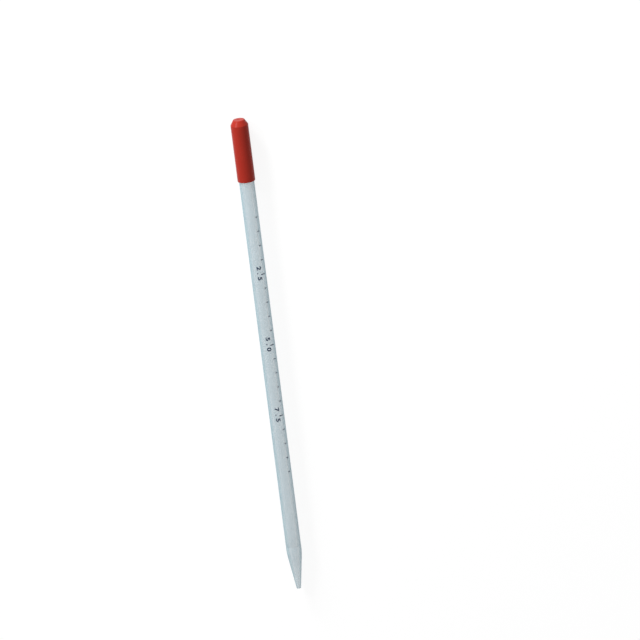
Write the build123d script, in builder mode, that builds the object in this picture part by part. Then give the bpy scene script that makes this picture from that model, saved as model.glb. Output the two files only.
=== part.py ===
from build123d import *
from math import atan2, cos, pi, sin, tan
import os

# Serological pipette: a moulded clear tube with a drawn tip and a narrower mouthpiece that holds a fibre
# plug, a printed scale, and a closed colour-coded cap pushed over the mouthpiece end. Sizes are in
# millimetres. It lies on its side on Z = 0, tip towards -X and cap towards +X. Lengths along the pipette
# are stations, counted from the tip's end face along the pipette's own axis.

# ---- Tube ------------------------------------------------------------------------------------------------
barrel_diameter = 10.5
barrel_wall = 1.31
barrel_length = 287.0        # straight stretch between the tip's cone and the mouthpiece's shoulder

tip_length = 26.0            # cone from the barrel down to the end face
tip_wall = 0.75
tip_blend = 40.0             # radius that runs the cone into the barrel
tip_edge = 0.25
orifice_diameter = 1.5
orifice_land = 3.0           # straight stretch of the orifice before the inside opens out
orifice_blend = 4.0

shoulder_length = 3.0        # from the barrel in to the mouthpiece
shoulder_blend = 1.5
mouthpiece_diameter = 8.0
mouthpiece_wall = 1.0
mouthpiece_length = 22.0
mouthpiece_edge = 0.3

# ---- Fibre plug ------------------------------------------------------------------------------------------
plug_length = 11.5
plug_depth = 5.0             # from the mouthpiece's end in to the plug
plug_clearance = 0.03        # between the plug and the mouthpiece's bore
plug_edge = 0.6

# ---- Cap -------------------------------------------------------------------------------------------------
cap_wall = 0.8
cap_clearance = 0.05         # running fit of the cap's bore on the barrel
cap_overlap = 16.8           # how far the cap reaches down over the barrel
cap_end_wall = 2.0
cap_socket_clearance = 0.3   # round the mouthpiece, inside the cap's closed end
cap_chamfer_height = 3.6
cap_chamfer_inset = 2.15
cap_edge = 0.2
cap_lead_in = 0.3            # chamfer inside the cap's open rim

# ---- Printed scale ---------------------------------------------------------------------------------------
tick_volume = 500.0          # cubic millimetres of bore between two ticks, so 0.5 mL
tick_count = 19
ticks_per_major = 5
first_tick_below_cap = 25.7
tick_width = 0.65
ink_thickness = 0.08
tick_end_angle = 53.0        # where every tick ends, in degrees round from the top towards -Y
minor_tick_arc = 20.0
major_tick_arc = 33.0

# ---- Derived sizes ---------------------------------------------------------------------------------------
barrel_radius = barrel_diameter / 2
bore_radius = barrel_radius - barrel_wall
orifice_radius = orifice_diameter / 2
tip_radius = orifice_radius + tip_wall
mouthpiece_radius = mouthpiece_diameter / 2
mouthpiece_bore_radius = mouthpiece_radius - mouthpiece_wall

barrel_end = tip_length + barrel_length
shoulder_end = barrel_end + shoulder_length
mouth = shoulder_end + mouthpiece_length

plug_radius = mouthpiece_bore_radius - plug_clearance
plug_top = mouth - plug_depth

cap_bore_radius = barrel_radius + cap_clearance
cap_radius = cap_bore_radius + cap_wall
cap_face_radius = cap_radius - cap_chamfer_inset
cap_socket_radius = mouthpiece_radius + cap_socket_clearance
cap_rim = barrel_end - cap_overlap
cap_top = mouth + cap_end_wall
cap_chamfer_start = cap_top - cap_chamfer_height

quarter_turn = 90.0          # from the section plane round to the top
tick_pitch = tick_volume / (pi * bore_radius**2)
first_tick = cap_rim - first_tick_below_cap
tick_stations = [first_tick - number * tick_pitch for number in range(tick_count)]
major_stations = tick_stations[ticks_per_major - 1 :: ticks_per_major]
minor_stations = [station for station in tick_stations if station not in major_stations]

# At rest the pipette touches the ground at two places: the cap's open rim, and the barrel beside its tip.
tip_angle = atan2(barrel_radius - tip_radius, tip_length)
tip_contact = tip_length + tip_blend * tan(tip_angle / 2)
rest_tilt = atan2(cap_radius - barrel_radius, cap_rim + cap_edge - tip_contact)
tip_x = -cap_top * cos(rest_tilt) / 2
tip_z = barrel_radius * cos(rest_tilt) - tip_contact * sin(rest_tilt)

# The section plane's x runs along the pipette's axis from the tip, and its y is the radius, towards +Y.
section = Plane(
    origin=(tip_x, 0, tip_z),
    x_dir=(cos(rest_tilt), 0, sin(rest_tilt)),
    z_dir=(-sin(rest_tilt), 0, cos(rest_tilt)),
)
pipette_axis = Axis(section.origin, section.x_dir)

# ---- Tube: one turned section, out along the outside and back along the bore ------------------------------
with BuildPart() as graduated_tube:
    with BuildSketch(section):
        with BuildLine():
            Polyline(
                (0, orifice_radius),
                (0, tip_radius),
                (tip_length, barrel_radius),
                (barrel_end, barrel_radius),
                (shoulder_end, mouthpiece_radius),
                (mouth, mouthpiece_radius),
                (mouth, mouthpiece_bore_radius),
                (shoulder_end, mouthpiece_bore_radius),
                (barrel_end, bore_radius),
                (tip_length, bore_radius),
                (orifice_land, orifice_radius),
                close=True,
            )
        make_face()
        for corner, blend in (
            ((0, tip_radius), tip_edge),
            ((tip_length, barrel_radius), tip_blend),
            ((tip_length, bore_radius), tip_blend),
            ((orifice_land, orifice_radius), orifice_blend),
            ((barrel_end, barrel_radius), shoulder_blend),
            ((barrel_end, bore_radius), shoulder_blend),
            ((shoulder_end, mouthpiece_radius), shoulder_blend),
            ((shoulder_end, mouthpiece_bore_radius), shoulder_blend),
            ((mouth, mouthpiece_radius), mouthpiece_edge),
            ((mouth, mouthpiece_bore_radius), mouthpiece_edge),
        ):
            fillet(vertices().sort_by_distance(corner)[0], radius=blend)
    revolve(axis=pipette_axis)

# ---- Fibre plug: a soft-edged cylinder in the mouthpiece's bore -------------------------------------------
with BuildPart() as filter_plug:
    with BuildSketch(section):
        with Locations((plug_top, 0)):
            Rectangle(plug_length, plug_radius, align=(Align.MAX, Align.MIN))
        chamfer(vertices().group_by(Axis.Y)[-1], length=plug_edge)
    revolve(axis=pipette_axis)

# ---- Cap: a closed sleeve that grips the barrel and shuts on the mouthpiece's end -------------------------
with BuildPart() as cap:
    with BuildSketch(section):
        with BuildLine():
            Polyline(
                (cap_rim, cap_bore_radius),
                (cap_rim, cap_radius),
                (cap_chamfer_start, cap_radius),
                (cap_top, cap_face_radius),
                (cap_top, 0),
                (mouth, 0),
                (mouth, cap_socket_radius),
                (shoulder_end, cap_socket_radius),
                (barrel_end, cap_bore_radius),
                close=True,
            )
        make_face()
        chamfer(vertices().sort_by_distance((cap_rim, cap_bore_radius))[0], length=cap_lead_in)
        fillet(vertices().sort_by_distance((cap_rim, cap_radius))[0], radius=cap_edge)
        fillet(vertices().sort_by_distance((cap_top, cap_face_radius))[0], radius=cap_edge)
    revolve(axis=pipette_axis)

# ---- Printed scale: thin bars of ink that follow the barrel's outside -------------------------------------
with BuildPart() as scale_ticks:
    for stations, tick_arc in (
        (minor_stations, minor_tick_arc),
        (major_stations, major_tick_arc),
    ):
        turn = quarter_turn + tick_end_angle - tick_arc
        ink_start = Plane(section.origin, section.x_dir, section.z_dir.rotate(pipette_axis, turn))
        with BuildSketch(ink_start):
            with Locations(*[(station, barrel_radius) for station in stations]):
                Rectangle(tick_width, ink_thickness, align=(Align.CENTER, Align.MIN))
        revolve(axis=pipette_axis, revolution_arc=tick_arc)

# ---- One STEP file for each piece -------------------------------------------------------------------------
os.makedirs("parts", exist_ok=True)

graduated_tube.part.label = "graduated_tube"
export_step(graduated_tube.part, "parts/graduated_tube.step")

filter_plug.part.label = "filter_plug"
export_step(filter_plug.part, "parts/filter_plug.step")

cap.part.label = "cap"
export_step(cap.part, "parts/cap.step")

scale_ticks.part.label = "scale_ticks"
export_step(scale_ticks.part, "parts/scale_ticks.step")
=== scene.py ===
"""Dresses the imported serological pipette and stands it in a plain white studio.

The pipette lies on its side, tip towards -X and cap towards +X. Lengths along it are stations, counted
from the tip's end face along the pipette's own axis, and sizes are written in millimetres.
"""

import logging
import math
import random
from abc import ABC, abstractmethod
from dataclasses import dataclass, field
from enum import Enum
from functools import cached_property
from typing import Sequence

import bmesh
import bpy
from mathutils import Matrix, Vector, noise


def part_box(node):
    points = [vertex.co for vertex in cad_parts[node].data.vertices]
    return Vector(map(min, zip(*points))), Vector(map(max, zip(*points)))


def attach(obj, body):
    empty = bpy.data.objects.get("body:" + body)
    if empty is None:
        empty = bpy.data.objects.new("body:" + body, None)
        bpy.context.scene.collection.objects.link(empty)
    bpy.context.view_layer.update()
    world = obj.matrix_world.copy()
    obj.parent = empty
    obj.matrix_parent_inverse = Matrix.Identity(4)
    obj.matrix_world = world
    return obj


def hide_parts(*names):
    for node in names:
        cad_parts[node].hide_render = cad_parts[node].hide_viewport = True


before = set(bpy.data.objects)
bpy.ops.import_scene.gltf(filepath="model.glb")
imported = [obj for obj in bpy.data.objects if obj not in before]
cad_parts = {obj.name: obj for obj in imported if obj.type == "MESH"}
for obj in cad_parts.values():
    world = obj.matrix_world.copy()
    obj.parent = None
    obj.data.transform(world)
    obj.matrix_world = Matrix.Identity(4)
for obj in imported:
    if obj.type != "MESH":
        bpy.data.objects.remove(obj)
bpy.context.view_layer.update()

MM = 0.001
ON_AXIS = 1e-6

log = logging.getLogger("pipette")

Colour = tuple[float, float, float]


class Part(Enum):
    """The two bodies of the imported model."""

    PIPETTE = "pipette"
    CAP = "cap"


class Slot(Enum):
    """The record's material slots."""

    CLEAR_TUBE = "clear_tube"
    FIBRE = "fibre"
    CAP = "cap"
    INK = "ink"


class Side(Enum):
    """Which wall of a turned piece a face belongs to, as its material's number."""

    OUTSIDE = 0
    INSIDE = 1


# ---- Sizes ---------------------------------------------------------------------------------------------


@dataclass(frozen=True)
class PipetteSizes:
    """The driving sizes that every sub-assembly shares, in millimetres."""

    barrel_diameter: float = 10.5
    barrel_wall: float = 1.31
    barrel_length: float = 287.0
    tip_length: float = 26.0
    tip_wall: float = 0.75
    tip_blend: float = 40.0
    orifice_diameter: float = 1.5
    shoulder_length: float = 3.0
    mouthpiece_diameter: float = 8.0
    mouthpiece_wall: float = 1.0
    mouthpiece_length: float = 22.0
    cap_clearance: float = 0.05
    cap_wall: float = 0.8
    cap_overlap: float = 16.8
    cap_end_wall: float = 2.0
    cap_edge: float = 0.2

    @property
    def barrel_radius(self) -> float:
        """Outside radius of the barrel."""
        return self.barrel_diameter / 2

    @property
    def bore_radius(self) -> float:
        """Inside radius of the barrel."""
        return self.barrel_radius - self.barrel_wall

    @property
    def orifice_radius(self) -> float:
        """Radius of the hole in the tip."""
        return self.orifice_diameter / 2

    @property
    def tip_radius(self) -> float:
        """Outside radius of the tip's end face."""
        return self.orifice_radius + self.tip_wall

    @property
    def mouthpiece_radius(self) -> float:
        """Outside radius of the mouthpiece."""
        return self.mouthpiece_diameter / 2

    @property
    def mouthpiece_bore_radius(self) -> float:
        """Inside radius of the mouthpiece."""
        return self.mouthpiece_radius - self.mouthpiece_wall

    @property
    def cap_bore_radius(self) -> float:
        """Inside radius of the cap."""
        return self.barrel_radius + self.cap_clearance

    @property
    def cap_radius(self) -> float:
        """Outside radius of the cap."""
        return self.cap_bore_radius + self.cap_wall

    @property
    def barrel_end(self) -> float:
        """Station where the barrel meets the shoulder."""
        return self.tip_length + self.barrel_length

    @property
    def shoulder_end(self) -> float:
        """Station where the shoulder meets the mouthpiece."""
        return self.barrel_end + self.shoulder_length

    @property
    def mouth(self) -> float:
        """Station of the mouthpiece's open end."""
        return self.shoulder_end + self.mouthpiece_length

    @property
    def cap_rim(self) -> float:
        """Station of the cap's open rim."""
        return self.barrel_end - self.cap_overlap

    @property
    def cap_top(self) -> float:
        """Station of the cap's closed end."""
        return self.mouth + self.cap_end_wall


@dataclass(frozen=True)
class PipetteAxis:
    """Where the pipette's axis lies when the cap's rim and the barrel rest on the ground."""

    sizes: PipetteSizes

    @cached_property
    def tilt(self) -> float:
        """Works out the rise of the axis towards the cap.

        Returns:
            The angle in radians.
        """
        s = self.sizes
        tip_angle = math.atan2(s.barrel_radius - s.tip_radius, s.tip_length)
        contact = s.tip_length + s.tip_blend * math.tan(tip_angle / 2)
        return math.atan2(s.cap_radius - s.barrel_radius, s.cap_rim + s.cap_edge - contact)

    @cached_property
    def along(self) -> Vector:
        """Unit vector from the tip to the cap."""
        return Vector((math.cos(self.tilt), 0.0, math.sin(self.tilt)))

    @cached_property
    def up(self) -> Vector:
        """Unit vector square to the axis, away from the ground."""
        return Vector((-math.sin(self.tilt), 0.0, math.cos(self.tilt)))

    @cached_property
    def side(self) -> Vector:
        """Unit vector square to the axis, towards -Y, where the scale is printed."""
        return Vector((0.0, -1.0, 0.0))

    @cached_property
    def tip(self) -> Vector:
        """Finds the centre of the tip's end face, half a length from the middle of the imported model.

        Returns:
            The point in metres.
        """
        s = self.sizes
        cap_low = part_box("cap")[0].z
        rim_drop = s.cap_radius * math.cos(self.tilt) - (s.cap_rim + s.cap_edge) * math.sin(self.tilt)
        return Vector((-s.cap_top * math.cos(self.tilt) / 2 * MM, 0.0, cap_low + rim_drop * MM))

    def at(self, station: float, radius: float = 0.0, turn: float = 0.0) -> Vector:
        """Finds a point of the pipette.

        Args:
            station: Distance from the tip along the axis, in millimetres.
            radius: Distance from the axis, in millimetres.
            turn: Angle round the axis from the top towards -Y, in radians.

        Returns:
            The point in metres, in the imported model's frame.
        """
        out = self.up * math.cos(turn) + self.side * math.sin(turn)
        return self.tip + self.along * (station * MM) + out * (radius * MM)


# ---- Turned meshes -------------------------------------------------------------------------------------


@dataclass(frozen=True)
class Corner:
    """One corner of a turned outline: its place, the radius that blends it, and the wall it begins."""

    station: float
    radius: float
    blend: float = 0.0
    side: Side = Side.OUTSIDE


@dataclass
class TurnedSection:
    """A closed outline that is turned round the pipette's axis into a mesh."""

    corners: Sequence[Corner]
    segments: int = 96
    arc_steps: int = 6
    widest_step: float = 15.0
    longest_run: float = 12.0
    flat_angle: float = 24.0

    def outline(self) -> list[tuple[float, float, Side]]:
        """Works out the outline's points, with each blended corner as an arc.

        Returns:
            Station, radius and wall of each point, in order round the outline.
        """
        count = len(self.corners)
        points: list[tuple[float, float, Side]] = []
        for number, corner in enumerate(self.corners):
            here = Vector((corner.station, corner.radius))
            before = self._place(number - 1) - here
            after = self._place((number + 1) % count) - here
            if corner.blend <= 0:
                points.append((here.x, here.y, corner.side))
                continue
            points += [(p.x, p.y, corner.side) for p in self._arc(here, before, after, corner.blend)]
        return self._divide(points)

    def _place(self, number: int) -> Vector:
        """The place of one corner as a vector."""
        return Vector((self.corners[number].station, self.corners[number].radius))

    def _arc(self, here: Vector, before: Vector, after: Vector, blend: float) -> list[Vector]:
        """Rounds one corner with an arc that runs into both of its sides.

        Args:
            here: The corner.
            before: From the corner to the one before it.
            after: From the corner to the one after it.
            blend: The arc's radius.

        Returns:
            The arc's points, in order.
        """
        back, on = before.normalized(), after.normalized()
        half = back.angle(on) / 2
        reach = blend / math.tan(half)
        centre = here + (back + on).normalized() * (blend / math.sin(half))
        first, last = here + back * reach - centre, here + on * reach - centre
        start = math.atan2(first.y, first.x)
        sweep = (math.atan2(last.y, last.x) - start + math.pi) % (2 * math.pi) - math.pi
        steps = max(self.arc_steps, math.ceil(math.degrees(abs(sweep)) / self.widest_step))
        turns = (start + sweep * k / steps for k in range(steps + 1))
        return [centre + Vector((math.cos(turn), math.sin(turn))) * blend for turn in turns]

    def _divide(self, points: list[tuple[float, float, Side]]) -> list[tuple[float, float, Side]]:
        """Divides the long straight runs, so that no face of the mesh is very long.

        Args:
            points: The outline's points.

        Returns:
            The points with more between them where they are far apart.
        """
        divided = []
        for number, (station, radius, side) in enumerate(points):
            next_station, next_radius, _ = points[(number + 1) % len(points)]
            forward, outward = next_station - station, next_radius - radius
            parts = max(1, math.ceil(math.hypot(forward, outward) / self.longest_run))
            for k in range(parts):
                t = k / parts
                divided.append((station + forward * t, radius + outward * t, side))
        return divided

    def build(self, name: str, axis: PipetteAxis) -> bpy.types.Object:
        """Turns the outline into a closed mesh with outward normals.

        Args:
            name: The new object's name.
            axis: The pipette's axis.

        Returns:
            The object, linked to the scene.
        """
        outline = self.outline()
        bm = bmesh.new()
        rings = []
        for station, radius, _ in outline:
            if radius < ON_AXIS:
                rings.append([bm.verts.new(axis.at(station))] * self.segments)
                continue
            turns = (2 * math.pi * k / self.segments for k in range(self.segments))
            rings.append([bm.verts.new(axis.at(station, radius, turn)) for turn in turns])
        for number, (_, _, side) in enumerate(outline):
            one, two = rings[number], rings[(number + 1) % len(rings)]
            for k in range(self.segments):
                n = (k + 1) % self.segments
                face_corners = list(dict.fromkeys((one[k], one[n], two[n], two[k])))
                if len(face_corners) > 2:
                    bm.faces.new(face_corners).material_index = side.value
        bmesh.ops.recalc_face_normals(bm, faces=bm.faces)
        return finish_mesh(name, bm, self.flat_angle)


def finish_mesh(name: str, bm: bmesh.types.BMesh, flat_angle: float) -> bpy.types.Object:
    """Writes a bmesh to a new object with smooth faces and sharp edges.

    Args:
        name: The new object's name.
        bm: The mesh, which is freed.
        flat_angle: Edges that turn by more than this many degrees stay sharp.

    Returns:
        The object, linked to the scene.
    """
    limit = math.radians(flat_angle)
    for edge in bm.edges:
        edge.smooth = not (len(edge.link_faces) == 2 and edge.calc_face_angle(0.0) > limit)
    for face in bm.faces:
        face.smooth = True
    mesh = bpy.data.meshes.new(name)
    bm.to_mesh(mesh)
    bm.free()
    piece = bpy.data.objects.new(name, mesh)
    bpy.context.scene.collection.objects.link(piece)
    return piece


# ---- Finishes ------------------------------------------------------------------------------------------


class FinishSheet:
    """A material's node tree, with short calls for the nodes that the finishes use."""

    edge_falloff = 0.5
    edge_start = 0.2
    noise_low = 0.3
    noise_high = 0.7

    def __init__(self, name: str) -> None:
        """Starts an empty material with a Principled shader on its output.

        Args:
            name: The material's name.
        """
        self.material = bpy.data.materials.new(name)
        self.material.use_nodes = True
        self.tree = self.material.node_tree
        self.tree.nodes.clear()
        self.output = self.tree.nodes.new("ShaderNodeOutputMaterial")
        self.shader = self.tree.nodes.new("ShaderNodeBsdfPrincipled")
        self.tree.links.new(self.shader.outputs["BSDF"], self.output.inputs["Surface"])
        self.place = self.tree.nodes.new("ShaderNodeTexCoord").outputs["Object"]

    def set(self, **values: float | Sequence[float]) -> None:
        """Sets plain values on the shader's own sockets, named with _ for a space."""
        for name, value in values.items():
            self.shader.inputs[name.replace("_", " ")].default_value = value

    def link(self, source: bpy.types.NodeSocket, socket: str) -> None:
        """Joins a node's output to one of the shader's sockets."""
        self.tree.links.new(source, self.shader.inputs[socket])

    def noise(
        self, size: float, stretch: Sequence[float] = (1, 1, 1), detail: float = 3.0, rough: float = 0.5
    ) -> bpy.types.NodeSocket:
        """Adds noise of a real size.

        Args:
            size: Width of the noise's lumps, in millimetres.
            stretch: How many times longer the lumps are along X, Y and Z.
            detail: Octaves of finer noise.
            rough: Strength of the finer octaves.

        Returns:
            The noise's value, about 0.5 on average.
        """
        mapping = self.tree.nodes.new("ShaderNodeMapping")
        mapping.inputs["Scale"].default_value = [1 / (size * MM * s) for s in stretch]
        self.tree.links.new(self.place, mapping.inputs["Vector"])
        node = self.tree.nodes.new("ShaderNodeTexNoise")
        node.inputs["Scale"].default_value = 1.0
        node.inputs["Detail"].default_value = detail
        node.inputs["Roughness"].default_value = rough
        self.tree.links.new(mapping.outputs["Vector"], node.inputs["Vector"])
        return node.outputs["Fac"]

    def spread(self, source: bpy.types.NodeSocket, low: float, high: float) -> bpy.types.NodeSocket:
        """Maps noise, between its usual lowest and highest values, onto a range.

        Args:
            source: The noise.
            low: Value at the noise's low end.
            high: Value at its high end.

        Returns:
            The mapped value.
        """
        node = self.tree.nodes.new("ShaderNodeMapRange")
        node.inputs["From Min"].default_value = self.noise_low
        node.inputs["From Max"].default_value = self.noise_high
        node.inputs["To Min"].default_value = low
        node.inputs["To Max"].default_value = high
        self.tree.links.new(source, node.inputs["Value"])
        return node.outputs["Result"]

    def blend(self, share: bpy.types.NodeSocket, one: Colour, two: Colour) -> bpy.types.NodeSocket:
        """Mixes two colours by a value.

        Args:
            share: Share of the second colour.
            one: First colour, linear.
            two: Second colour, linear.

        Returns:
            The mixed colour.
        """
        node = self.tree.nodes.new("ShaderNodeMix")
        node.data_type = "RGBA"
        first, second = (socket for socket in node.inputs if socket.type == "RGBA")
        first.default_value = (*one, 1)
        second.default_value = (*two, 1)
        self.tree.links.new(share, node.inputs[0])
        return next(socket for socket in node.outputs if socket.type == "RGBA")

    def facing(self, square_on: float, edge_on: float) -> bpy.types.NodeSocket:
        """Adds a value that changes with how squarely the surface is seen, as clear walls do.

        Args:
            square_on: Value where the surface is seen square on.
            edge_on: Value where it is seen edge on.

        Returns:
            The value.
        """
        weight = self.tree.nodes.new("ShaderNodeLayerWeight")
        weight.inputs["Blend"].default_value = self.edge_falloff
        node = self.tree.nodes.new("ShaderNodeMapRange")
        node.inputs["From Min"].default_value = self.edge_start
        node.inputs["To Min"].default_value = square_on
        node.inputs["To Max"].default_value = edge_on
        self.tree.links.new(weight.outputs["Facing"], node.inputs["Value"])
        return node.outputs["Result"]

    def bump(self, height: bpy.types.NodeSocket, depth: float) -> None:
        """Roughens the surface's normal.

        Args:
            height: Height from 0 to 1.
            depth: Real height of a bump, in millimetres.
        """
        node = self.tree.nodes.new("ShaderNodeBump")
        node.inputs["Strength"].default_value = 1.0
        node.inputs["Distance"].default_value = depth * MM
        self.tree.links.new(height, node.inputs["Height"])
        self.link(node.outputs["Normal"], "Normal")


@dataclass(frozen=True)
class ClearPlastic:
    """Clear moulded plastic, faintly blue, with lines drawn along it."""

    name: str
    opacity: float
    rim_opacity: float | None = None
    colour: Colour = (0.425, 0.63, 0.72)
    darker: Colour = (0.405, 0.605, 0.695)
    roughness: tuple[float, float] = (0.20, 0.26)
    shine: float = 0.3
    line_width: float = 0.9
    line_stretch: float = 60.0
    line_depth: float = 0.0015
    cloud_size: float = 9.0
    cloud_stretch: float = 3.0

    def material(self) -> bpy.types.Material:
        """Builds the material, denser where the wall is seen edge on if it has a rim opacity.

        Returns:
            The material.
        """
        sheet = FinishSheet(self.name)
        sheet.set(IOR=1.58, Alpha=self.opacity, Specular_IOR_Level=self.shine)
        if self.rim_opacity is not None:
            sheet.link(sheet.facing(self.opacity, self.rim_opacity), "Alpha")
        lines = sheet.noise(self.line_width, stretch=(self.line_stretch, 1, 1), detail=4)
        cloud = sheet.noise(self.cloud_size, stretch=(self.cloud_stretch, 1, 1))
        sheet.link(sheet.blend(sheet.spread(cloud, 0, 1), self.colour, self.darker), "Base Color")
        sheet.link(sheet.spread(lines, *self.roughness), "Roughness")
        sheet.bump(lines, self.line_depth)
        return sheet.material


@dataclass(frozen=True)
class MouldedPlastic:
    """Satin moulded plastic, evenly coloured, with a fine sparked texture."""

    name: str
    colour: Colour = (0.43, 0.030, 0.0175)
    darker: Colour = (0.41, 0.027, 0.0155)
    roughness: tuple[float, float] = (0.26, 0.32)
    grain: float = 0.22
    grain_depth: float = 0.006
    flow_size: float = 5.0
    flow_stretch: float = 2.5
    shine: float = 0.11

    def material(self) -> bpy.types.Material:
        """Builds the material, with a faint cloud of colour where the melt flowed.

        Returns:
            The material.
        """
        sheet = FinishSheet(self.name)
        sheet.set(IOR=1.5, Specular_IOR_Level=self.shine)
        grain = sheet.noise(self.grain, detail=3)
        flow = sheet.noise(self.flow_size, stretch=(self.flow_stretch, 1, 1), detail=2)
        sheet.link(sheet.blend(sheet.spread(flow, 0, 1), self.colour, self.darker), "Base Color")
        sheet.link(sheet.spread(grain, *self.roughness), "Roughness")
        sheet.bump(grain, self.grain_depth)
        return sheet.material


@dataclass(frozen=True)
class PrintedInk:
    """Opaque dark blue printing ink with a matt, slightly uneven film."""

    name: str
    colour: Colour = (0.008, 0.022, 0.062)
    thin: Colour = (0.014, 0.036, 0.090)
    roughness: tuple[float, float] = (0.45, 0.62)
    grain: float = 0.18
    grain_depth: float = 0.004
    shine: float = 0.3

    def material(self) -> bpy.types.Material:
        """Builds the material, thinner and paler in the grain's high spots.

        Returns:
            The material.
        """
        sheet = FinishSheet(self.name)
        sheet.set(IOR=1.48, Specular_IOR_Level=self.shine)
        grain = sheet.noise(self.grain, detail=4, rough=0.6)
        sheet.link(sheet.blend(sheet.spread(grain, 0, 1), self.colour, self.thin), "Base Color")
        sheet.link(sheet.spread(grain, *self.roughness), "Roughness")
        sheet.bump(grain, self.grain_depth)
        return sheet.material


@dataclass(frozen=True)
class FilterFibre:
    """White matted fibre."""

    name: str
    colour: Colour = (0.93, 0.92, 0.90)
    shaded: Colour = (0.80, 0.79, 0.77)
    strand_width: float = 0.12
    strand_stretch: float = 6.0
    strand_depth: float = 0.05

    def material(self) -> bpy.types.Material:
        """Builds the material, shaded between its strands.

        Returns:
            The material.
        """
        sheet = FinishSheet(self.name)
        sheet.set(Roughness=0.95, Specular_IOR_Level=0.1, Sheen_Weight=0.35, Sheen_Roughness=0.5)
        stretch = (self.strand_stretch, 1, 1)
        strands = sheet.noise(self.strand_width, stretch=stretch, detail=5, rough=0.65)
        sheet.link(sheet.blend(sheet.spread(strands, 0, 1), self.shaded, self.colour), "Base Color")
        sheet.bump(strands, self.strand_depth)
        return sheet.material


def dress(piece: bpy.types.Object, *materials: bpy.types.Material) -> None:
    """Gives a piece its materials, in the order of its faces' material numbers."""
    for material in materials:
        piece.data.materials.append(material)


def seat(piece: bpy.types.Object, part: Part, slot: Slot, *nodes: str) -> None:
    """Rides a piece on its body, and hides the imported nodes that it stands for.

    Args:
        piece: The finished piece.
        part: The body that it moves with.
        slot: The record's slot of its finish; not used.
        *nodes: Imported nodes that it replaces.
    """
    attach(piece, part.value)
    if nodes:
        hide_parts(*nodes)


# ---- Sub-assemblies ------------------------------------------------------------------------------------


@dataclass
class SubAssembly(ABC):
    """A sub-assembly of the pipette. Its sizes are in millimetres and its angles in degrees."""

    sizes: PipetteSizes
    axis: PipetteAxis

    @abstractmethod
    def build(self) -> list[bpy.types.Object]:
        """Builds, dresses and seats the sub-assembly's pieces, and returns them."""


@dataclass
class GraduatedTube(SubAssembly):
    """The clear tube: drawn tip, barrel, shoulder and narrower mouthpiece, with its bore."""

    outside: ClearPlastic = ClearPlastic("clear_wall_outside", 0.36, rim_opacity=0.94)
    inside: ClearPlastic = ClearPlastic("clear_wall_inside", 0.04)
    orifice_land: float = 3.0
    orifice_blend: float = 4.0
    tip_edge: float = 0.25
    shoulder_blend: float = 1.5
    mouthpiece_edge: float = 0.3
    tip_seam: float = 31.0
    mouthpiece_seam: float = 309.5
    seam_width: float = 0.5
    seam_depth: float = 0.05

    def seam(self, station: float) -> list[Corner]:
        """Lays out the shallow groove that is left where a moulded end is welded to the barrel.

        Args:
            station: Middle of the groove.

        Returns:
            Its corners, on the outside.
        """
        radius, half = self.sizes.barrel_radius, self.seam_width / 2
        floor = radius - self.seam_depth
        return [
            Corner(station - half, radius),
            Corner(station - half / 2, floor),
            Corner(station + half / 2, floor),
            Corner(station + half, radius),
        ]

    def section(self) -> TurnedSection:
        """Lays out the tube's section: out along the outside and back along the bore.

        Returns:
            The section.
        """
        s = self.sizes
        bore = Side.INSIDE
        return TurnedSection(
            [
                Corner(0, s.orifice_radius),
                Corner(0, s.tip_radius, self.tip_edge),
                Corner(s.tip_length, s.barrel_radius, s.tip_blend),
                *self.seam(self.tip_seam),
                *self.seam(self.mouthpiece_seam),
                Corner(s.barrel_end, s.barrel_radius, self.shoulder_blend),
                Corner(s.shoulder_end, s.mouthpiece_radius, self.shoulder_blend),
                Corner(s.mouth, s.mouthpiece_radius, self.mouthpiece_edge),
                Corner(s.mouth, s.mouthpiece_bore_radius, self.mouthpiece_edge, bore),
                Corner(s.shoulder_end, s.mouthpiece_bore_radius, self.shoulder_blend, bore),
                Corner(s.barrel_end, s.bore_radius, self.shoulder_blend, bore),
                Corner(s.tip_length, s.bore_radius, s.tip_blend, bore),
                Corner(self.orifice_land, s.orifice_radius, self.orifice_blend, bore),
            ]
        )

    def build(self) -> list[bpy.types.Object]:
        """Builds and dresses the tube.

        Returns:
            The tube.
        """
        piece = self.section().build("clear_tube", self.axis)
        dress(piece, self.outside.material(), self.inside.material())
        seat(piece, Part.PIPETTE, Slot.CLEAR_TUBE, "graduated_tube")
        return [piece]


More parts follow.
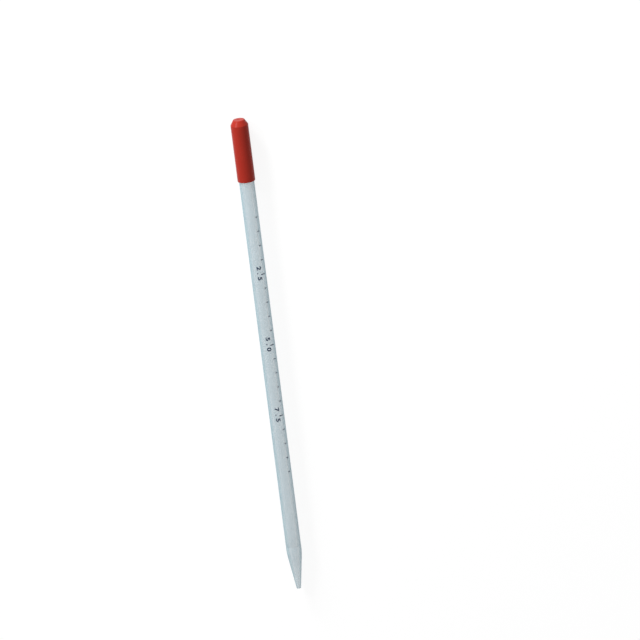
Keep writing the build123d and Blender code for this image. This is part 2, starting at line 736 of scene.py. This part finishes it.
@dataclass
class FilterPlug(SubAssembly):
    """The fibre plug in the mouthpiece's bore, with loose strands on its ends."""

    finish: FilterFibre = FilterFibre("matted_fibre")
    length: float = 11.5
    depth: float = 5.0
    clearance: float = 0.03
    end_crown: float = 0.9
    skin_run: float = 0.35
    lump_size: float = 0.7
    lump_depth: float = 0.05
    strand_count: int = 150
    strand_radius: float = 0.035
    strand_steps: int = 9
    strand_sides: int = 3
    strand_span: tuple[float, float] = (0.8, 2.2)
    strand_rise: tuple[float, float] = (0.08, 0.45)
    strand_curl: float = 1.5
    strand_root: float = 0.1
    strand_margin: float = 0.25
    strand_spread: float = 0.8
    seed: int = 7

    @property
    def radius(self) -> float:
        """Outside radius of the plug."""
        return self.sizes.mouthpiece_bore_radius - self.clearance

    @property
    def top(self) -> float:
        """Station of the plug's end nearer the mouth."""
        return self.sizes.mouth - self.depth

    def build(self) -> list[bpy.types.Object]:
        """Builds and dresses the plug.

        Returns:
            The plug.
        """
        piece = self._body()
        self._add_strands(piece)
        dress(piece, self.finish.material())
        seat(piece, Part.PIPETTE, Slot.FIBRE, "filter_plug")
        return [piece]

    def _body(self) -> bpy.types.Object:
        """Turns a soft-ended cylinder and pushes its skin in unevenly.

        Returns:
            The plug's body.
        """
        bottom, crown = self.top - self.length, self.end_crown
        section = TurnedSection(
            [
                Corner(bottom, 0),
                Corner(bottom, self.radius, crown),
                Corner(self.top, self.radius, crown),
                Corner(self.top, 0),
            ],
            segments=72,
            longest_run=self.skin_run,
            flat_angle=60.0,
        )
        piece = section.build("filter_plug_fibre", self.axis)
        middle = self.axis.at(self.top - self.length / 2)
        for vertex in piece.data.vertices:
            push = 0.5 + 0.5 * noise.noise(vertex.co / (self.lump_size * MM))
            vertex.co += (middle - vertex.co).normalized() * (self.lump_depth * MM * push)
        return piece

    def _add_strands(self, piece: bpy.types.Object) -> None:
        """Joins fine curled strands onto the plug's two end faces.

        Args:
            piece: The plug's body.
        """
        chance = random.Random(self.seed)
        bm = bmesh.new()
        bm.from_mesh(piece.data)
        for number in range(self.strand_count):
            outward = 1 if number % 2 else -1
            face = self.top if outward > 0 else self.top - self.length
            self._sweep(bm, self._strand_path(chance, face, outward))
        for item in bm.faces:
            item.smooth = True
        bm.to_mesh(piece.data)
        bm.free()

    def _strand_path(self, chance: random.Random, face: float, outward: int) -> list[Vector]:
        """Draws one strand that curls out of an end face and back into it.

        Args:
            chance: The seeded random numbers.
            face: Station of the end face.
            outward: 1 at the mouth's end and -1 at the barrel's.

        Returns:
            The strand's points.
        """
        reach = self.radius - self.strand_margin
        centre = reach * self.strand_spread * math.sqrt(chance.random())
        bearing = chance.uniform(0, 2 * math.pi)
        heading = chance.uniform(0, 2 * math.pi)
        span = chance.uniform(*self.strand_span)
        rise = chance.uniform(*self.strand_rise)
        curl = chance.uniform(-self.strand_curl, self.strand_curl)
        path = []
        for k in range(self.strand_steps + 1):
            t = k / self.strand_steps
            turned = heading + curl * t
            across = centre * math.cos(bearing) + span * (t - 0.5) * math.cos(turned)
            sideways = centre * math.sin(bearing) + span * (t - 0.5) * math.sin(turned)
            out = min(math.hypot(across, sideways), reach)
            height = rise * math.sin(math.pi * t) - self.strand_root
            path.append(self.axis.at(face + outward * height, out, math.atan2(sideways, across)))
        return path

    def _sweep(self, bm: bmesh.types.BMesh, path: Sequence[Vector]) -> None:
        """Adds one closed strand that follows a path.

        Args:
            bm: The mesh that it joins.
            path: The strand's points.
        """
        sides, thick = self.strand_sides, self.strand_radius * MM
        rings = []
        for k, point in enumerate(path):
            ahead = (path[min(k + 1, len(path) - 1)] - path[max(k - 1, 0)]).normalized()
            one = ahead.orthogonal().normalized()
            two = ahead.cross(one)
            turns = (2 * math.pi * n / sides for n in range(sides))
            spokes = [one * math.cos(turn) + two * math.sin(turn) for turn in turns]
            rings.append([bm.verts.new(point + spoke * thick) for spoke in spokes])
        for one, two in zip(rings, rings[1:]):
            for n in range(sides):
                m = (n + 1) % sides
                bm.faces.new((one[n], one[m], two[m], two[n]))
        bm.faces.new(list(reversed(rings[0])))
        bm.faces.new(rings[-1])


@dataclass
class Cap(SubAssembly):
    """The closed, colour-coded cap that is pushed over the mouthpiece's end."""

    finish: MouldedPlastic = MouldedPlastic("satin_red_plastic")
    chamfer_height: float = 3.6
    chamfer_inset: float = 2.15
    crisp_edge: float = 0.12
    gate_radius: float = 1.1
    gate_depth: float = 0.15
    gate_edge: float = 0.05
    socket_clearance: float = 0.3
    lead_in: float = 0.3
    lead_in_edge: float = 0.05
    inside_edge: float = 0.1

    def section(self) -> TurnedSection:
        """Lays out the cap's section: rim, outside, closed end, and back down its socket and bore.

        Returns:
            The section.
        """
        s = self.sizes
        face_radius = s.cap_radius - self.chamfer_inset
        gate_floor = s.cap_top - self.gate_depth
        socket = s.mouthpiece_radius + self.socket_clearance
        return TurnedSection(
            [
                Corner(s.cap_rim, s.cap_bore_radius + self.lead_in, self.lead_in_edge),
                Corner(s.cap_rim, s.cap_radius, s.cap_edge),
                Corner(s.cap_top - self.chamfer_height, s.cap_radius, self.crisp_edge),
                Corner(s.cap_top, face_radius, self.crisp_edge),
                Corner(s.cap_top, self.gate_radius, self.gate_edge),
                Corner(gate_floor, self.gate_radius - self.gate_depth, self.gate_edge),
                Corner(gate_floor, 0),
                Corner(s.mouth, 0),
                Corner(s.mouth, socket, self.inside_edge),
                Corner(s.shoulder_end, socket, self.inside_edge),
                Corner(s.barrel_end, s.cap_bore_radius, self.inside_edge),
                Corner(s.cap_rim + self.lead_in, s.cap_bore_radius, self.lead_in_edge),
            ],
            arc_steps=4,
            longest_run=3.0,
        )

    def build(self) -> list[bpy.types.Object]:
        """Builds and dresses the cap.

        Returns:
            The cap.
        """
        piece = self.section().build("closed_cap", self.axis)
        dress(piece, self.finish.material())
        seat(piece, Part.CAP, Slot.CAP, "cap")
        return [piece]


@dataclass
class PrintedScale(SubAssembly):
    """The printed scale: a dash at each half millilitre and a number at every fifth.

    Angles are counted from the top towards -Y. A number's middle stands nearer to the cap than its dash by
    the numeral lead.
    """

    finish: PrintedInk = PrintedInk("dark_blue_ink")
    tick_volume: float = 500.0
    tick_count: int = 19
    ticks_per_major: int = 5
    first_tick_below_cap: float = 25.7
    tick_width: float = 0.65
    ink_thickness: float = 0.06
    ink_bite: float = 0.02
    tick_end_angle: float = 53.0
    minor_arc: float = 20.0
    major_arc: float = 33.0
    arc_steps: int = 24
    corner_steps: int = 4
    corner_share: float = 0.6
    flat_angle: float = 40.0
    numeral_height: float = 2.8
    numeral_middle_angle: float = 7.7
    numeral_lead: float = 1.0
    numeral_pitch: float = 3.75
    numeral_widening: float = 1.35
    numeral_weight: float = 0.03
    numeral_slice: float = 0.2
    curve_steps: int = 4
    merge_distance: float = 1e-5

    @property
    def tick_pitch(self) -> float:
        """Distance between two dashes: the volume between them over the bore's area."""
        return self.tick_volume / (math.pi * self.sizes.bore_radius**2)

    def station(self, number: int) -> float:
        """Station of one dash, counted from the cap."""
        return self.sizes.cap_rim - self.first_tick_below_cap - number * self.tick_pitch

    def is_major(self, number: int) -> bool:
        """True for a long dash with a number beside it."""
        return (number + 1) % self.ticks_per_major == 0

    def build(self) -> list[bpy.types.Object]:
        """Builds and dresses the dashes and the numbers.

        Returns:
            The dashes as one piece, then each number.
        """
        ink = self.finish.material()
        pieces = [self._ticks()]
        dress(pieces[0], ink)
        seat(pieces[0], Part.PIPETTE, Slot.INK, "scale_ticks")
        for number in filter(self.is_major, range(self.tick_count)):
            millilitres = (number + 1) * self.tick_volume / 1000
            piece = self._numeral(f"{millilitres:.1f}", self.station(number) + self.numeral_lead)
            dress(piece, ink)
            seat(piece, Part.PIPETTE, Slot.INK)
            pieces.append(piece)
        return pieces

    def _ticks(self) -> bpy.types.Object:
        """Builds every dash as a thin bar of ink that follows the barrel.

        Returns:
            The dashes.
        """
        bm = bmesh.new()
        for number in range(self.tick_count):
            arc = self.major_arc if self.is_major(number) else self.minor_arc
            self._dash(bm, self.station(number), self.tick_end_angle - arc, self.tick_end_angle)
        bmesh.ops.recalc_face_normals(bm, faces=bm.faces)
        return finish_mesh("printed_ticks", bm, self.flat_angle)

    def _dash(self, bm: bmesh.types.BMesh, station: float, start: float, end: float) -> None:
        """Adds one dash with round ends.

        Args:
            bm: The mesh that it joins.
            station: Its middle, along the tube.
            start: Angle where it starts, in degrees from the top.
            end: Angle where it ends.
        """
        low = self.sizes.barrel_radius - self.ink_bite
        high = self.sizes.barrel_radius + self.ink_thickness
        half = self.tick_width / 2
        length = math.radians(end - start) * self.sizes.barrel_radius
        corner, straight = half * self.corner_share, length - half * self.corner_share * 2
        turns = [math.pi / 2 * k / self.corner_steps for k in range(self.corner_steps)]
        first = [corner * (1 - math.cos(turn)) for turn in turns]
        stops = first + [corner + straight * k / self.arc_steps for k in range(self.arc_steps + 1)]
        stops += [length - stop for stop in reversed(first)]
        outline = ((-1, low), (-1, high), (1, high), (1, low))
        rows = []
        for stop in stops:
            from_end = min(stop, length - stop)
            short = corner - math.sqrt(max(0.0, corner**2 - max(0.0, corner - from_end) ** 2))
            width = half - short
            turn = math.radians(start) + stop / self.sizes.barrel_radius
            points = [self.axis.at(station + way * width, radius, turn) for way, radius in outline]
            rows.append([bm.verts.new(point) for point in points])
        for one, two in zip(rows, rows[1:]):
            for n in range(len(outline)):
                m = (n + 1) % len(outline)
                bm.faces.new((one[n], one[m], two[m], two[n]))
        bm.faces.new(rows[0])
        bm.faces.new(list(reversed(rows[-1])))

    def _numeral(self, words: str, station: float) -> bpy.types.Object:
        """Prints one number along the barrel, read from the cap's end.

        Args:
            words: The number.
            station: Where its middle stands, along the tube.

        Returns:
            The number's mesh, wrapped on the barrel.
        """
        bm = bmesh.new()
        middle = (len(words) - 1) / 2
        for place, character in enumerate(words):
            glyph = self._glyph(character)
            lift = (place - middle) * self.numeral_pitch
            for vertex in glyph.verts:
                vertex.co.x += lift
            mesh = bpy.data.meshes.new("glyph")
            glyph.to_mesh(mesh)
            glyph.free()
            bm.from_mesh(mesh)
            bpy.data.meshes.remove(mesh)
        barrel = self.sizes.barrel_radius
        base = math.radians(self.numeral_middle_angle) - self.numeral_height / 2 / barrel
        for vertex in bm.verts:
            along, across, height = vertex.co
            vertex.co = self.axis.at(station - along, barrel + height, base + across / barrel)
        bmesh.ops.recalc_face_normals(bm, faces=bm.faces)
        return finish_mesh(f"printed_number_{words}", bm, self.flat_angle)

    def _glyph(self, character: str) -> bmesh.types.BMesh:
        """Makes one flat character, centred in X, in millimetres, thick enough to bite into the barrel.

        Args:
            character: The digit or point.

        Returns:
            Its mesh, sliced finely enough to be bent.
        """
        bm = self._letter(character, self.numeral_weight)
        bmesh.ops.remove_doubles(bm, verts=bm.verts, dist=self.merge_distance)
        tall = self.numeral_height / self._digit_height()
        wide = tall * self.numeral_widening
        places = [vertex.co.x for vertex in bm.verts]
        middle = (min(places) + max(places)) / 2
        for vertex in bm.verts:
            x, y, z = vertex.co
            depth = self.ink_thickness if z > 0 else -self.ink_bite
            vertex.co = ((x - middle) * wide, y * tall, depth)
        slices = math.ceil(self.numeral_height / self.numeral_slice)
        for k in range(1, slices):
            height = self.numeral_height * k / slices
            everything = bm.verts[:] + bm.edges[:] + bm.faces[:]
            bmesh.ops.bisect_plane(bm, geom=everything, plane_co=(0, height, 0), plane_no=(0, 1, 0))
        return bm

    def _letter(self, character: str, weight: float) -> bmesh.types.BMesh:
        """Reads one character of the built-in font at size 1 as a thick plate.

        Args:
            character: The digit or point.
            weight: How far its strokes are thickened.

        Returns:
            Its mesh.
        """
        curve = bpy.data.curves.new("letter", "FONT")
        curve.body = character
        curve.size = 1.0
        curve.resolution_u = self.curve_steps
        curve.extrude = 0.5
        curve.offset = weight
        holder = bpy.data.objects.new("letter", curve)
        mesh = bpy.data.meshes.new_from_object(holder)
        bpy.data.objects.remove(holder)
        bpy.data.curves.remove(curve)
        bm = bmesh.new()
        bm.from_mesh(mesh)
        bpy.data.meshes.remove(mesh)
        return bm

    def _digit_height(self) -> float:
        """Height of a digit in the built-in font at size 1, before its strokes are thickened.

        Returns:
            The height.
        """
        bm = self._letter("5", 0.0)
        height = max(vertex.co.y for vertex in bm.verts)
        bm.free()
        return height


# ---- Studio --------------------------------------------------------------------------------------------


@dataclass
class Camera:
    """A long lens above the scale, leaning towards the cap's end.

    Its lean and roll are in degrees, its subject's station is in millimetres, and the rest is in metres,
    apart from the sensor, which is in Blender's own millimetres.
    """

    axis: PipetteAxis
    distance: float = 12.0
    lean: float = 18.0
    roll: float = 7.275
    view_width: float = 0.43804
    subject_station: float = 170.0
    subject_right: float = 0.03496
    subject_up: float = 0.02384
    sensor: float = 36.0
    clip_start: float = 0.1

    def build(self) -> bpy.types.Object:
        """Makes the scene's camera.

        Returns:
            The camera.
        """
        lean, roll = math.radians(self.lean), math.radians(self.roll)
        back = self.axis.along * math.sin(lean) + self.axis.up * math.cos(lean)
        up = (self.axis.along - back * self.axis.along.dot(back)).normalized()
        right = up.cross(back)
        view_right = right * math.cos(roll) - up * math.sin(roll)
        view_up = right * math.sin(roll) + up * math.cos(roll)
        aim = self.axis.at(self.subject_station)
        aim += view_right * self.subject_right + view_up * self.subject_up
        data = bpy.data.cameras.new("camera")
        data.sensor_width = self.sensor
        data.lens = self.sensor * self.distance / self.view_width
        data.clip_start = self.clip_start
        data.clip_end = self.distance * 2
        camera = bpy.data.objects.new("camera", data)
        turn = Matrix((view_right, view_up, back)).transposed().to_4x4()
        camera.matrix_world = Matrix.Translation(aim + back * self.distance) @ turn
        bpy.context.scene.collection.objects.link(camera)
        bpy.context.scene.camera = camera
        return camera


@dataclass(frozen=True)
class Softbox:
    """A square lamp that faces the pipette.

    Its azimuth is counted from +X towards +Y and its height from the ground, both in degrees, and its
    distance and side are in metres. At a level of 1 it alone would show a colour that faces it as written.
    """

    name: str
    azimuth: float
    height: float
    distance: float
    side: float
    level: float

    def build(self, aim: Vector) -> bpy.types.Object:
        """Hangs the lamp.

        Args:
            aim: The point that it faces.

        Returns:
            The lamp, unseen by the camera itself.
        """
        around, rise = math.radians(self.azimuth), math.radians(self.height)
        level_way = Vector((math.cos(around), math.sin(around), 0.0))
        out = level_way * math.cos(rise) + Vector((0.0, 0.0, math.sin(rise)))
        data = bpy.data.lights.new(self.name, "AREA")
        data.shape = "SQUARE"
        data.size = self.side
        data.energy = self.level * (math.pi * self.distance) ** 2
        lamp = bpy.data.objects.new(self.name, data)
        lamp.location = aim + out * self.distance
        lamp.rotation_mode = "QUATERNION"
        lamp.rotation_quaternion = out.to_track_quat("Z", "Y")
        lamp.visible_camera = False
        bpy.context.scene.collection.objects.link(lamp)
        return lamp


@dataclass
class Studio:
    """The white floor, the even light all round and the soft lamps. The floor's side is in metres."""

    axis: PipetteAxis
    floor_side: float = 6.0
    floor_colour: float = 0.80
    floor_seen_colour: float = 0.21
    floor_glow: float = 0.88
    sky_level: float = 0.34
    lamps: Sequence[Softbox] = field(
        default_factory=lambda: (
            Softbox("cap_end_softbox", azimuth=24, height=14, distance=1.6, side=0.4, level=0.72),
            Softbox("left_softbox", azimuth=46, height=29, distance=1.6, side=0.28, level=0.31),
        )
    )

    def build(self) -> None:
        """Builds the floor, the sky and the lamps."""
        self._floor()
        self._sky()
        aim = self.axis.at(self.axis.sizes.cap_top / 2)
        for lamp in self.lamps:
            lamp.build(aim)

    @staticmethod
    def _seen(tree: bpy.types.NodeTree) -> bpy.types.NodeSocket:
        """Adds a value that is 1 for the rays that see the background: camera, glossy and transmission.

        Args:
            tree: The node tree.

        Returns:
            The value.
        """
        path = tree.nodes.new("ShaderNodeLightPath")
        total = path.outputs["Is Camera Ray"]
        for name in ("Is Glossy Ray", "Is Transmission Ray"):
            either = tree.nodes.new("ShaderNodeMath")
            either.operation = "MAXIMUM"
            tree.links.new(total, either.inputs[0])
            tree.links.new(path.outputs[name], either.inputs[1])
            total = either.outputs["Value"]
        return total

    @staticmethod
    def _switch(
        tree: bpy.types.NodeTree, seen: bpy.types.NodeSocket, lighting: float, shown: float
    ) -> bpy.types.NodeSocket:
        """Adds a value that differs between the rays that light things and the rays that see.

        Args:
            tree: The node tree.
            seen: 1 for the rays that see.
            lighting: Value for the rays that light things.
            shown: Value for the rays that see.

        Returns:
            The value.
        """
        node = tree.nodes.new("ShaderNodeMapRange")
        node.inputs["To Min"].default_value = lighting
        node.inputs["To Max"].default_value = shown
        tree.links.new(seen, node.inputs["Value"])
        return node.outputs["Result"]

    def _floor(self) -> None:
        """Lays the floor, which shows as white and keeps soft shadows."""
        half = self.floor_side / 2
        mesh = bpy.data.meshes.new("studio_floor")
        corners = [(-half, -half, 0), (half, -half, 0), (half, half, 0), (-half, half, 0)]
        mesh.from_pydata(corners, [], [(0, 1, 2, 3)])
        floor = bpy.data.objects.new("studio_floor", mesh)
        bpy.context.scene.collection.objects.link(floor)
        material = bpy.data.materials.new("white_paper")
        material.use_nodes = True
        tree = material.node_tree
        tree.nodes.clear()
        output = tree.nodes.new("ShaderNodeOutputMaterial")
        seen = self._seen(tree)
        paper = tree.nodes.new("ShaderNodeBsdfDiffuse")
        shade = self._switch(tree, seen, self.floor_colour, self.floor_seen_colour)
        tree.links.new(shade, paper.inputs["Color"])
        glow = tree.nodes.new("ShaderNodeEmission")
        tree.links.new(self._switch(tree, seen, 0.0, self.floor_glow), glow.inputs["Strength"])
        both = tree.nodes.new("ShaderNodeAddShader")
        tree.links.new(paper.outputs["BSDF"], both.inputs[0])
        tree.links.new(glow.outputs["Emission"], both.inputs[1])
        tree.links.new(both.outputs["Shader"], output.inputs["Surface"])
        mesh.materials.append(material)

    def _sky(self) -> None:
        """Sets the even light all round, which shows as white."""
        world = bpy.data.worlds.new("even_sky")
        bpy.context.scene.world = world
        world.use_nodes = True
        tree = world.node_tree
        tree.nodes.clear()
        output = tree.nodes.new("ShaderNodeOutputWorld")
        back = tree.nodes.new("ShaderNodeBackground")
        back.inputs["Color"].default_value = (1, 1, 1, 1)
        tree.links.new(self._switch(tree, self._seen(tree), self.sky_level, 1.0), back.inputs["Strength"])
        tree.links.new(back.outputs["Background"], output.inputs["Surface"])


def main() -> None:
    """Builds the camera, the pieces and the studio, and reports each piece."""
    logging.basicConfig(level=logging.INFO, format="%(name)s: %(message)s")
    bpy.context.scene.view_settings.view_transform = "Standard"
    sizes = PipetteSizes()
    axis = PipetteAxis(sizes)
    Camera(axis).build()
    for sub_assembly in (GraduatedTube, FilterPlug, Cap, PrintedScale):
        for piece in sub_assembly(sizes, axis).build():
            log.info("%s: %s, %d faces", sub_assembly.__name__, piece.name, len(piece.data.polygons))
    Studio(axis).build()


if __name__ == "__main__":
    main()
